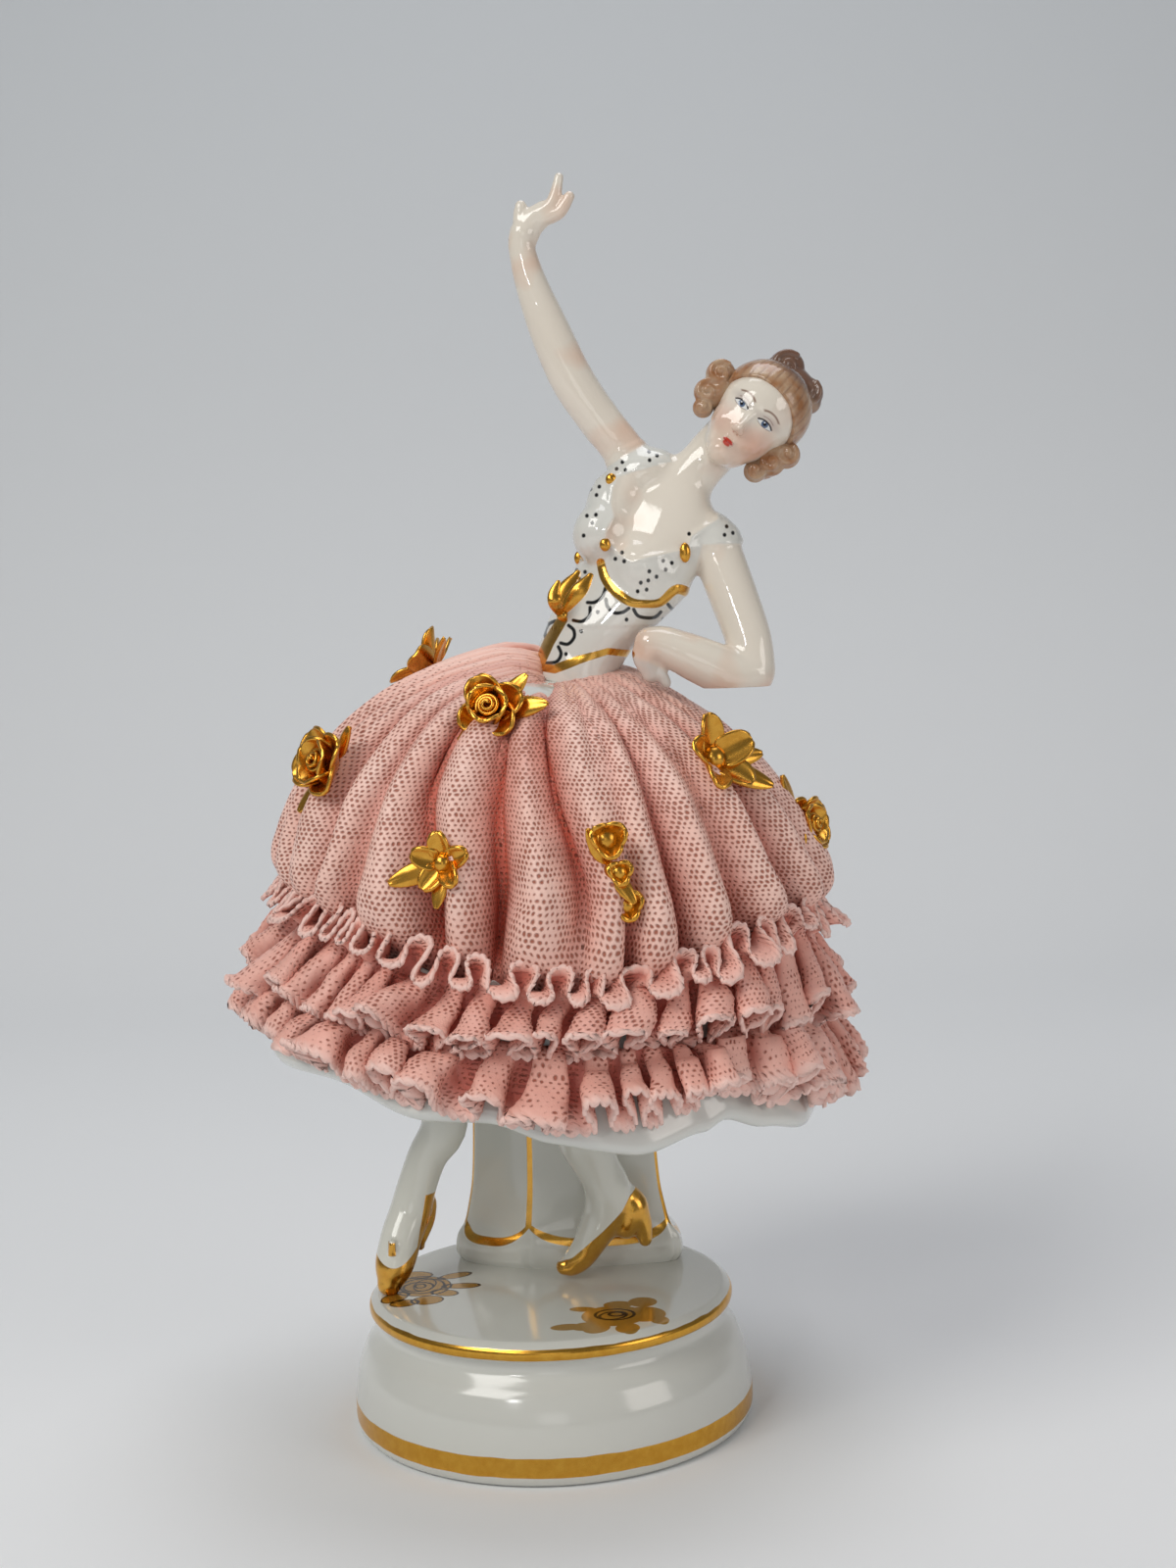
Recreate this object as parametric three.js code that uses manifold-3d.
// Porcelain dancer in a lace skirt, on a round base.
// Millimetres, +Z up, the front faces -Y. The origin is the centre of the base's underside.
// The base, the post, the legs, the petticoat bell and the dancer's upper body are separate castings.
// The lace skirt and its two frills are lace dipped in slip, and the gilt sprays are rolled by hand.
// Slip sticks them together, so each one stands off the next by a thin joint.
import * as THREE from "three";
import { mergeVertices } from "three/addons/utils/BufferGeometryUtils.js";
import Module from "manifold-3d";

const wasm = await Module();
wasm.setup();
const { Manifold, Mesh: SolidMesh } = wasm;
const { lerp, clamp, smoothstep } = THREE.MathUtils;

// Driving dimensions
const slipJoint = 0.3; // joint left between two pieces that touch

const footRadius = 22.5;
const baseHeight = 14.8;
const discRadius = 19.7; // of the disc that she stands on
const footStrip = 1.2; // white below the gilt band
const goldBand = 2.1;

const postWidth = 23;
const postDepth = 11.5;
const postFront = 5; // behind the middle of the disc

const legRoom = 25; // from the disc up to the petticoat's mean hem
const hollowDepth = 15.2; // from the hem up to the ceiling of the bell's hollow
const bellWall = 2.2;

const skirtHeight = 46.2; // from the hem to the top of the lace
const skirtRadius = 30.4; // of the lace where it is fullest
const laceThickness = 0.9;
const foldDepth = 2.4;
const foldCount = 20;

const frillCount = 40; // flutes round the skirt
const frillThickness = 1.1;
const frillReach = 4.5; // how far the edge of the upper frill stands out past the lace
const fluteDepth = 1.6;
const headerStand = 3; // how far the upper frill's free edge stands up from its seam
const upperDrop = 6.2; // from its seam down to its edge
const frillLap = 1.2; // from that edge down to the lower frill's seam
const lowerDrop = 6;

const headLength = 13.4; // chin to crown; her proportions are shares of it
const petalLength = 4;

// Heights that follow from them
const bellHem = baseHeight + legRoom;
const skirtLevel = (share) => bellHem + share * skirtHeight;
const ceiling = bellHem + hollowDepth;
const laceHem = skirtLevel(0.385);
const laceTop = skirtLevel(1);
const upperSeam = skirtLevel(0.33);
const upperEdge = upperSeam - upperDrop;
const lowerSeam = upperEdge - frillLap;
const lowerEdge = lowerSeam - lowerDrop;
const waist = new THREE.Vector3(0.22 * skirtRadius, 0, skirtLevel(0.97));

// Finishes
const porcelain = { color: "#e9ebe8", roughness: 0.12, metalness: 0 };
const flesh = { color: "#ece2d6", roughness: 0.12, metalness: 0 };
const lacePink = { color: "#dfa6a0", roughness: 0.55, metalness: 0 };
const gilt = { color: "#c8912c", roughness: 0.2, metalness: 1 };

// Turns a closed geometry into a solid, whichever way round its faces were wound.
function solid(geometry) {
  const open = geometry.clone();
  open.deleteAttribute("normal");
  open.deleteAttribute("uv");
  const merged = mergeVertices(open, 1e-4);
  const triVerts = new Uint32Array(merged.index.array);
  const vertProperties = merged.attributes.position.array;
  const made = () => new Manifold(new SolidMesh({ numProp: 3, vertProperties, triVerts }));
  const first = made();
  if (first.volume() > 0) return first;
  for (let i = 0; i < triVerts.length; i += 3) {
    [triVerts[i + 1], triVerts[i + 2]] = [triVerts[i + 2], triVerts[i + 1]];
  }
  return made();
}

// The largest single body of a solid, as a geometry: crumbs cut off by a neighbour are dropped.
function geometryOf(body) {
  const largest = body.decompose().sort((a, b) => b.volume() - a.volume())[0];
  const { numProp, numVert, vertProperties, triVerts } = largest.getMesh();
  const position = new Float32Array(numVert * 3);
  for (let i = 0; i < numVert; i++) {
    position.set(vertProperties.subarray(i * numProp, i * numProp + 3), i * 3);
  }
  const geometry = new THREE.BufferGeometry();
  geometry.setAttribute("position", new THREE.BufferAttribute(position, 3));
  geometry.setIndex(new THREE.BufferAttribute(new Uint32Array(triVerts), 1));
  return geometry;
}

const union = (bodies) => bodies.reduce((sum, body) => sum.add(body));

// Skins a row of rings that have the same number of points. A loop joins its last ring to its first,
// and any other row is capped at both ends.
function loft(rings, loop = false) {
  const sides = rings[0].length;
  const points = rings.flat();
  const faces = [];
  const at = (ring, side) => (ring % rings.length) * sides + (side % sides);
  const spans = loop ? rings.length : rings.length - 1;
  for (let r = 0; r < spans; r++) {
    for (let s = 0; s < sides; s++) {
      faces.push(at(r, s), at(r, s + 1), at(r + 1, s + 1));
      faces.push(at(r, s), at(r + 1, s + 1), at(r + 1, s));
    }
  }
  if (!loop) {
    for (const r of [0, rings.length - 1]) {
      const middle = new THREE.Vector3();
      rings[r].forEach((p) => middle.addScaledVector(p, 1 / sides));
      const hub = points.push(middle) - 1;
      for (let s = 0; s < sides; s++) {
        const [a, b] = [at(r, s), at(r, s + 1)];
        faces.push(...(r ? [a, b, hub] : [b, a, hub]));
      }
    }
  }
  const geometry = new THREE.BufferGeometry().setFromPoints(points);
  return geometry.setIndex(faces);
}

// An ellipse in the plane square to up, with its half-sizes across and deep and its deep side towards front
function ring(centre, up, front, across, deep, sides) {
  const side = new THREE.Vector3().crossVectors(up, front).normalize();
  const ahead = new THREE.Vector3().crossVectors(side, up).normalize();
  return Array.from({ length: sides }, (_, i) => {
    const angle = (2 * Math.PI * i) / sides;
    return centre
      .clone()
      .addScaledVector(side, across * Math.cos(angle))
      .addScaledVector(ahead, deep * Math.sin(angle));
  });
}

// A limb: a smooth tube through the points, with a radius at each and a rounded end
function limb(points, radii, { sides = 8, steps = 9 } = {}) {
  const curve = new THREE.CatmullRomCurve3(points);
  const rings = [];
  for (let i = 0; i <= steps; i++) {
    const t = i / steps;
    const place = t * (radii.length - 1);
    const low = Math.min(Math.floor(place), radii.length - 2);
    const radius = lerp(radii[low], radii[low + 1], place - low);
    const along = curve.getTangent(t);
    const front = Math.abs(along.y) > 0.9 ? new THREE.Vector3(1, 0, 0) : new THREE.Vector3(0, -1, 0);
    const centre = curve.getPoint(t);
    const tip = i === steps;
    const width = tip ? radius * 0.7 : radius;
    if (tip) centre.addScaledVector(along, radius * 0.6);
    rings.push(ring(centre, along, front, width, width, sides));
  }
  return solid(loft(rings));
}

// An ellipsoid with its long axis along up and its deep side towards front
function egg(centre, up, front, across, deep, tall, segments = 9, rows = 6) {
  const side = new THREE.Vector3().crossVectors(up, front).normalize();
  const ahead = new THREE.Vector3().crossVectors(side, up).normalize();
  const turn = new THREE.Matrix4().makeBasis(
    side.multiplyScalar(across),
    ahead.multiplyScalar(deep),
    up.clone().normalize().multiplyScalar(-tall),
  );
  const geometry = new THREE.SphereGeometry(1, segments, rows);
  geometry.rotateX(Math.PI / 2);
  geometry.applyMatrix4(turn.setPosition(centre));
  return solid(geometry);
}

// Base: a turned foot with a gilt band, a swelling body, a hollow neck and a gilt bead under the disc
function baseSolid() {
  const bandTop = footStrip + goldBand;
  const body = baseHeight - bandTop;
  const bead = discRadius + 0.75;
  const profile = [
    [0, -footStrip],
    [0.947 * footRadius, -footStrip],
    [0.947 * footRadius, 0],
    [0.982 * footRadius, 0.25 * footStrip],
    [footRadius, footStrip],
    [footRadius, bandTop],
    [0.984 * footRadius, bandTop + 0.2 * body],
    [0.951 * footRadius, bandTop + 0.4 * body],
    [discRadius + 0.6, bandTop + 0.56 * body],
    [discRadius - 0.2, bandTop + 0.62 * body],
    [discRadius - 0.3, bandTop + 0.73 * body],
    [bead - 0.15, bandTop + 0.83 * body],
    [bead, bandTop + 0.89 * body],
    [bead - 0.25, bandTop + 0.95 * body],
    [discRadius - 0.4, baseHeight],
    [0, baseHeight],
  ].map(([r, z]) => new THREE.Vector2(r, z));
  const geometry = new THREE.LatheGeometry(profile, 33);
  geometry.rotateX(Math.PI / 2);
  return solid(geometry).trimByPlane([0, 0, 1], 0); // one flat underside, with the origin inside a face
}

// Post: a six-cornered support behind the legs, its faces hollowed, spreading into a rounded plinth.
// Its corners are shares of its half-width and half-depth, from the front left round to the left.
const postCorners = [
  [-0.38, -0.92],
  [0.96, -0.8],
  [0.88, 0.55],
  [0.25, 1.0],
  [-0.75, 0.8],
  [-1.0, -0.2],
];
const postLevels = [
  // share of the way up, spread, how far a face is hollowed
  [0, 1.12, -0.03],
  [0.06, 1.14, -0.02],
  [0.12, 1.1, 0.02],
  [0.2, 1.04, 0.05],
  [0.42, 0.98, 0.06],
  [1, 0.94, 0.04],
];
function postSolid() {
  const foot = baseHeight + slipJoint;
  const top = ceiling - slipJoint;
  const middle = new THREE.Vector2(0.11 * discRadius, postFront + postDepth / 2);
  const rings = postLevels.map(([share, spread, hollow]) => {
    const outline = [];
    postCorners.forEach(([x, y], i) => {
      const [nextX, nextY] = postCorners[(i + 1) % postCorners.length];
      outline.push([x * spread, y * spread]);
      outline.push([((x + nextX) / 2) * (spread - hollow), ((y + nextY) / 2) * (spread - hollow)]);
    });
    return outline.map(
      ([x, y]) =>
        new THREE.Vector3(
          middle.x + (x * postWidth) / 2,
          middle.y + (y * postDepth) / 2,
          lerp(foot, top, share),
        ),
    );
  });
  return solid(loft(rings));
}

// Skirt. Every ring of the bell, the lace and the frills is placed by the angle round it (0 at the right, a
// quarter turn at the back), the height of its middle and its radius. The rings lean with her, so their left
// side stands higher, and their middles move right towards the waist.
const skirtLine = [
  // share of the height, outside of the lace as a share of the radius, rise to the right, middle as a share
  [0, 1.1, -0.14, 0.046],
  [0.195, 1.05, -0.1, 0.026],
  [0.385, 1, -0.075, 0.059],
  [0.5, 0.99, -0.07, 0.072],
  [0.59, 0.974, -0.065, 0.059],
  [0.675, 0.918, -0.06, 0.046],
  [0.75, 0.829, -0.065, 0.053],
  [0.838, 0.688, -0.09, 0.072],
  [0.913, 0.52, -0.14, 0.105],
  [0.965, 0.349, -0.22, 0.158],
  [1, 0.217, -0.3, 0.22],
];
const frontDip = 0.015;
function skirtAt(height) {
  const up = (height - bellHem) / skirtHeight;
  const next = skirtLine.findIndex((row) => row[0] > up);
  const i = next < 0 ? skirtLine.length - 2 : Math.max(0, next - 1);
  const [low, high] = [skirtLine[i], skirtLine[i + 1]];
  const share = clamp((up - low[0]) / (high[0] - low[0]), 0, 1);
  const [, radius, rise, middle] = low.map((value, k) => lerp(value, high[k], share));
  return { radius: radius * skirtRadius, rise, middle: middle * skirtRadius };
}
function skirtPoint(angle, height, radius) {
  const { rise, middle } = skirtAt(height);
  const x = radius * Math.cos(angle);
  const y = radius * Math.sin(angle);
  const dip = height > laceHem ? 0 : frontDip;
  return new THREE.Vector3(x + middle, y, height + rise * x + dip * y);
}
function skirtRing(columns, place) {
  return Array.from({ length: columns }, (_, i) => {
    const angle = (2 * Math.PI * i) / columns;
    return skirtPoint(angle, ...place(angle, i));
  });
}
// The bell's outside is what is left under the lace and its folds.
const bellOuter = (height) => skirtAt(height).radius - foldDepth - laceThickness - slipJoint;

// Petticoat bell: white porcelain, hollow below, with a waved hem that lifts at the right of the front
const bellLevels = [0.155, 0.385, 0.59, 0.675, 0.75, 0.838, 0.926].map(skirtLevel);
const bellTop = bellLevels.at(-1);
const hemWaves = 9;
const hemWaveHeight = 0.9;
const hemWaveDepth = 0.6;
const hemLift = 4.4; // the arch in the hem
const hemLiftAngle = -0.75;
function hemWave(angle) {
  const turn = angle > Math.PI ? angle - 2 * Math.PI : angle;
  const arch = Math.exp(-((turn - hemLiftAngle) ** 2) / 0.03);
  return [
    hemWaveHeight * Math.cos(hemWaves * angle) + hemLift * arch,
    hemWaveDepth * Math.sin(hemWaves * angle + 0.6),
  ];
}
function bellSolid() {
  const columns = 48;
  const hemRadius = bellOuter(bellHem);
  const hemRow = (rise, inset) => (angle) => {
    const [lift, swell] = hemWave(angle);
    return [bellHem + lift + rise, hemRadius + swell - inset];
  };
  const levelRing = (height, radius) =>
    Array.from({ length: columns }, (_, i) => {
      const angle = (2 * Math.PI * i) / columns;
      const x = radius * Math.cos(angle) + 0.033 * skirtRadius;
      return new THREE.Vector3(x, radius * Math.sin(angle), height);
    });
  const rings = [
    levelRing(ceiling, 0.7 * hemRadius),
    levelRing(ceiling - 0.2 * hollowDepth, 0.9 * hemRadius - bellWall),
    skirtRing(columns, hemRow(bellWall / 2, bellWall)),
    skirtRing(columns, hemRow(-0.18 * bellWall, 0.45 * bellWall)),
    skirtRing(columns, hemRow(0.41 * bellWall, 0)),
    ...bellLevels.map((height) => skirtRing(columns, () => [height, bellOuter(height)])),
  ];
  return solid(loft(rings));
}

// Lace skirt: gathered at the waist, its folds rounded outside and deep between, drawn in at the hem.
// grow fattens it, to cut what rests on it with room for the joint.
const laceLevels = [0.385, 0.44, 0.59, 0.675, 0.75, 0.838, 0.913, 0.965, 1].map(skirtLevel);
const waistGap = 0.42 * headLength; // clears her waist
function laceSolid(grow = 0) {
  const columns = foldCount * 3;
  const inside = (height) =>
    skirtRing(columns, () => [height, Math.max(bellOuter(height), waistGap) + slipJoint]);
  const outside = (height) =>
    skirtRing(columns, (angle) => {
      const drawnIn = height === laceHem ? 0.45 : 1;
      const gathered = smoothstep(laceTop - height, -0.013 * skirtHeight, 0.108 * skirtHeight);
      const wave = 0.5 + 0.5 * Math.cos(foldCount * angle + 0.7 * Math.sin(2 * angle));
      const inset = foldDepth * (1 - drawnIn * (1 - gathered * (1 - wave)));
      return [height, Math.max(skirtAt(height).radius, waistGap + slipJoint + laceThickness) - inset + grow];
    });
  const lining = [laceTop, ...bellLevels.filter((height) => height >= laceHem).toReversed()];
  return solid(loft([...lining.map(inside), ...laceLevels.map(outside)], true));
}

// A frill: a strip of lace gathered into flutes. rows gives its section from the inner edge round to the outer
// edge: height, radius, and the share of the flutes' depth at that row.
function frillSolid(rows) {
  const columns = frillCount * 2;
  const rings = rows.map(([height, radius, flute]) =>
    skirtRing(columns, (angle, i) => [height, radius + (i % 2 ? -0.5 : 0.5) * fluteDepth * flute]),
  );
  return solid(loft(rings, true));
}
function upperFrillSolid() {
  const seam = bellOuter(upperSeam) + slipJoint;
  const edge = skirtRadius + frillReach;
  const header = skirtRadius + frillReach / 2;
  return frillSolid([
    [upperSeam + headerStand, header - frillThickness, 0.7],
    [upperSeam, seam + 0.09 * frillThickness, 0],
    [(upperSeam + upperEdge) / 2, (seam + edge) / 2, 0.8],
    [upperEdge, edge - frillThickness, 1],
    [upperEdge - 0.27 * frillThickness, edge, 1],
    [upperSeam - 0.9 * frillThickness, header - frillThickness, 0.4],
    [upperSeam + headerStand, header, 0.7],
  ]);
}
function lowerFrillSolid() {
  const seam = bellOuter(lowerSeam) + slipJoint;
  const edge = skirtRadius + frillReach * 0.67;
  return frillSolid([
    [lowerSeam, seam, 0],
    [(lowerSeam + lowerEdge) / 2, (seam + edge) / 2 - 0.27 * frillThickness, 0.8],
    [lowerEdge, edge - frillThickness, 1],
    [lowerEdge - 0.27 * frillThickness, edge, 1],
    [lowerSeam + 0.18 * frillThickness, seam + frillThickness, 0.3],
  ]);
}

// Her points are in head lengths from the middle of the waist, and her thicknesses in head lengths.
const her = (x, y, z) => new THREE.Vector3(x, y, z).multiplyScalar(headLength).add(waist);
const size = (share) => share * headLength;
const leaning = (lean) => new THREE.Vector3(Math.sin(lean), 0, Math.cos(lean));
const facing = (turn) => new THREE.Vector3(-Math.sin(turn), -Math.cos(turn), 0);

// Legs: each one runs from the hollow of the bell down to a heeled shoe whose toe stands on the disc.
// Their points are shares of the disc's radius, and of the way from the disc to the hem.
const legFoot = baseHeight + slipJoint;
const onLeg = (x, y, share) => new THREE.Vector3(x * discRadius, y * discRadius, legFoot + share * legRoom);
const underBell = (x, y) => new THREE.Vector3(x * discRadius, y * discRadius, ceiling - 2.3 * slipJoint);
function legSolid(points, radii, heel) {
  const leg = limb(points, radii.map(size), { steps: 11 });
  const shoeHeel = limb(heel, [0.095, 0.06].map(size), { steps: 2 });
  return leg.add(shoeHeel).trimByPlane([0, 0, 1], legFoot);
}
function pointedLegSolid() {
  const points = [
    underBell(-0.44, 0.06),
    onLeg(-0.58, 0.08, 0.72),
    onLeg(-0.705, 0.08, 0.49),
    onLeg(-0.78, 0.07, 0.336),
    onLeg(-0.84, 0.01, 0.184),
    onLeg(-0.88, -0.08, 0.036),
  ];
  const heel = [onLeg(-0.69, 0.14, 0.33), onLeg(-0.74, 0.15, 0.18)];
  return legSolid(points, [0.27, 0.185, 0.16, 0.153, 0.157, 0.075], heel);
}
function crossedLegSolid() {
  const points = [
    underBell(0.06, -0.07),
    onLeg(0.22, -0.03, 0.7),
    onLeg(0.33, 0.01, 0.48),
    onLeg(0.35, 0.046, 0.33),
    onLeg(0.24, 0.046, 0.144),
    onLeg(0.13, 0.03, 0.038),
  ];
  const heel = [onLeg(0.47, 0.05, 0.33), onLeg(0.5, 0.06, 0.18)];
  return legSolid(points, [0.27, 0.21, 0.17, 0.19, 0.125, 0.07], heel);
}

// Dancer: torso, raised arm, arm on the hip, head and hair, cast as one
const torsoRows = [
  // middle, half-width, half-depth, how far the front turns left, how far the section leans right
  [her(-0.06, 0, -0.09), 0.38, 0.32, 0.95, 0.34],
  [her(-0.03, 0, 0.06), 0.39, 0.32, 0.95, 0.34],
  [her(0.08, 0, 0.22), 0.41, 0.33, 0.9, 0.3],
  [her(0.21, 0.01, 0.41), 0.47, 0.35, 0.8, 0.28],
  [her(0.4, 0.01, 0.68), 0.53, 0.35, 0.7, 0.33],
  [her(0.5, 0.02, 0.92), 0.53, 0.34, 0.66, 0.4],
  [her(0.64, 0.03, 1.14), 0.53, 0.31, 0.62, 0.52],
  [her(0.77, 0.04, 1.32), 0.44, 0.26, 0.6, 0.66],
  [her(0.9, 0.04, 1.44), 0.25, 0.22, 0.5, 0.7],
];
const headLean = 0.78; // her head tilts right
const headTurn = 0.12; // and turns a little left
const headMiddle = her(1.43, -0.05, 1.93);

function torsoSolid() {
  const seat = bellTop + 4 * slipJoint; // clear of the bell's sloping top
  const rings = torsoRows.map(([middle, across, deep, turn, lean]) =>
    ring(middle, leaning(lean), facing(turn), size(across), size(deep), 12),
  );
  const bust = [
    egg(her(0.48, -0.22, 0.76), leaning(0.45), facing(0.5), size(0.29), size(0.29), size(0.28)),
    egg(her(0.17, -0.14, 1.04), leaning(0.45), facing(0.7), size(0.25), size(0.27), size(0.25)),
  ];
  return union([solid(loft(rings)), ...bust]).trimByPlane([0, 0, 1], seat);
}
function raisedArmSolid() {
  const arm = limb(
    [
      her(0.52, 0.12, 1.5),
      her(0.37, 0.12, 1.74),
      her(0.17, 0.11, 2.02),
      her(-0.03, 0.1, 2.34),
      her(-0.2, 0.1, 2.75),
      her(-0.34, 0.1, 3.15),
      her(-0.4, 0.1, 3.5),
    ],
    [0.19, 0.18, 0.18, 0.185, 0.17, 0.14, 0.12].map(size),
    { steps: 11 },
  );
  const palm = limb(
    [her(-0.4, 0.1, 3.44), her(-0.3, 0.08, 3.62), her(-0.14, 0.06, 3.72)],
    [0.13, 0.13, 0.1].map(size),
    { steps: 4 },
  );
  const fingers = [
    [her(-0.16, 0.06, 3.72), her(-0.07, 0.04, 3.95)],
    [her(-0.12, 0.06, 3.7), her(0.02, 0.02, 3.77)],
    [her(-0.4, 0.1, 3.55), her(-0.42, 0.1, 3.77)],
  ].map((points) => limb(points, [0.07, 0.045].map(size), { sides: 6, steps: 3 }));
  const sleeve = egg(her(0.53, 0.1, 1.56), leaning(-0.25), facing(0.3), size(0.3), size(0.28), size(0.2));
  return union([arm, palm, ...fingers, sleeve]);
}
function hipArmSolid() {
  const upper = limb(
    [her(1.08, -0.1, 0.95), her(1.2, -0.22, 0.6), her(1.32, -0.34, 0.2), her(1.33, -0.42, -0.12)],
    [0.2, 0.2, 0.19, 0.18].map(size),
    { steps: 8 },
  );
  const fore = limb(
    [her(1.3, -0.43, -0.18), her(0.95, -0.46, 0), her(0.52, -0.46, 0.16)],
    [0.21, 0.2, 0.15].map(size),
    { steps: 6 },
  );
  const hand = limb(
    [her(0.54, -0.45, 0.16), her(0.5, -0.43, 0.02), her(0.58, -0.42, -0.12)],
    [0.15, 0.12, 0.07].map(size),
    { steps: 4 },
  );
  const sleeve = egg(her(1.09, -0.08, 0.94), leaning(0.3), facing(0.2), size(0.22), size(0.26), size(0.2));
  return union([upper, fore, hand, sleeve]);
}
function headSolid() {
  const up = leaning(headLean);
  const front = facing(headTurn);
  const side = new THREE.Vector3().crossVectors(up, front).normalize();
  const ahead = new THREE.Vector3().crossVectors(side, up).normalize();
  const onHead = (across, forward, tall) =>
    headMiddle
      .clone()
      .addScaledVector(side, size(across))
      .addScaledVector(ahead, size(forward))
      .addScaledVector(up, size(tall));
  const curl = (across, forward, tall, radius) =>
    egg(onHead(across, forward, tall), up, front, size(radius), size(radius), size(radius), 6, 4);
  const neck = limb(
    [her(0.8, 0.06, 1.3), her(1.0, 0.04, 1.58), her(1.26, 0.02, 1.86)],
    [0.27, 0.205, 0.19].map(size),
    { steps: 5 },
  );
  return union([
    neck,
    egg(onHead(0, -0.02, 0.1), up, front, size(0.36), size(0.4), size(0.38)), // skull and hair
    egg(onHead(0, 0.1, -0.14), up, front, size(0.29), size(0.3), size(0.36)), // face and jaw
    egg(onHead(0, 0.4, -0.12), up, front, size(0.05), size(0.07), size(0.09), 4, 3), // nose
    ...[-1, 1].flatMap((hand) => [
      curl(hand * 0.37, 0.12, 0.12, 0.13),
      curl(hand * 0.42, 0.08, -0.08, 0.13),
      curl(hand * 0.36, 0.1, -0.26, 0.11),
    ]),
    curl(-0.16, -0.12, 0.5, 0.18),
    curl(0.16, -0.12, 0.48, 0.18),
  ]);
}
function dancerSolid() {
  const figure = union([torsoSolid(), raisedArmSolid(), hipArmSolid(), headSolid()]);
  return figure.subtract(laceSolid(slipJoint)).simplify(0.12);
}

// Gilt sprays: petals round a bud, with leaves beside it. Each is cut to sit on the lace's folds.
const petalThickness = 0.9;
function petal(root, out, face, length, width) {
  const middle = root.clone().addScaledVector(out, length * 0.45);
  return egg(middle, out, face, width / 2, petalThickness / 2, length / 2, 4, 2);
}
function spraySolid({ angle, level, petals, scale, leaves, turn = 0, lift = 0 }) {
  const height = skirtLevel(level);
  const long = petalLength * scale;
  const radius = (at) => skirtAt(at).radius + 0.2 * petalThickness + lift;
  const middle = skirtPoint(angle, height, radius(height));
  const up = middle.clone().sub(skirtPoint(angle, height - 1, radius(height - 1))).normalize();
  const out = new THREE.Vector3(Math.cos(angle), Math.sin(angle), 0);
  const side = new THREE.Vector3().crossVectors(up, out).normalize();
  const face = new THREE.Vector3().crossVectors(side, up).normalize();
  const ray = (bearing, tilt) =>
    up
      .clone()
      .multiplyScalar(Math.cos(bearing))
      .addScaledVector(side, Math.sin(bearing))
      .multiplyScalar(Math.cos(tilt))
      .addScaledVector(face, Math.sin(tilt));
  const bodies = [egg(middle, face, up, long * 0.3, long * 0.3, long * 0.45, 6, 3)];
  for (let i = 0; i < petals; i++) {
    const bearing = turn + (2 * Math.PI * i) / petals;
    bodies.push(petal(middle, ray(bearing, 0.5), face, long, long * 0.8));
  }
  leaves.forEach((bearing) => {
    bodies.push(petal(middle, ray(bearing, 0.05), face, long * 1.4, long * 0.7));
  });
  return union(bodies).subtract(laceSolid(slipJoint)).simplify(0.12);
}
const sprays = {
  waist_rose: { angle: -2.02, level: 0.905, petals: 5, scale: 0.8, leaves: [-1.2, 3.4], lift: 1.4 },
  left_rose: { angle: -2.98, level: 0.727, petals: 5, scale: 1.1, leaves: [2.6, 3.6] },
  front_left_flower: { angle: -1.97, level: 0.541, petals: 5, scale: 1, leaves: [1.9, 3.2], turn: 0.3 },
  front_buds: { angle: -1.33, level: 0.567, petals: 3, scale: 0.65, leaves: [0.35, 3.5] },
  right_flower: { angle: -0.62, level: 0.823, petals: 4, scale: 1, leaves: [-2.2, -1.6], turn: 0.2 },
  right_rose: { angle: -0.1, level: 0.636, petals: 4, scale: 0.9, leaves: [0.2, 3.3] },
  back_left_flower: { angle: 2.69, level: 0.948, petals: 5, scale: 0.95, leaves: [-0.5, 2.4], lift: 0.4 },
  back_right_flower: { angle: 0.95, level: 0.697, petals: 5, scale: 1, leaves: [2.6, -1.8] },
  back_rose: { angle: 1.85, level: 0.61, petals: 5, scale: 1, leaves: [1.6, -2.2] },
};

// The object, one named mesh for each piece
const figurine = new THREE.Group();
function add(name, body, finish) {
  const mesh = new THREE.Mesh(geometryOf(body), new THREE.MeshStandardMaterial(finish));
  mesh.name = name;
  figurine.add(mesh);
}
add("base", baseSolid(), porcelain);
add("post", postSolid(), porcelain);
add("pointed_leg", pointedLegSolid(), porcelain);
add("crossed_leg", crossedLegSolid(), porcelain);
add("petticoat", bellSolid(), porcelain);
add("lace_skirt", laceSolid(), lacePink);
add("upper_frill", upperFrillSolid(), lacePink);
add("lower_frill", lowerFrillSolid(), lacePink);
add("dancer", dancerSolid(), flesh);
Object.entries(sprays).forEach(([name, spray]) => add(name, spraySolid(spray), gilt));

export default figurine;
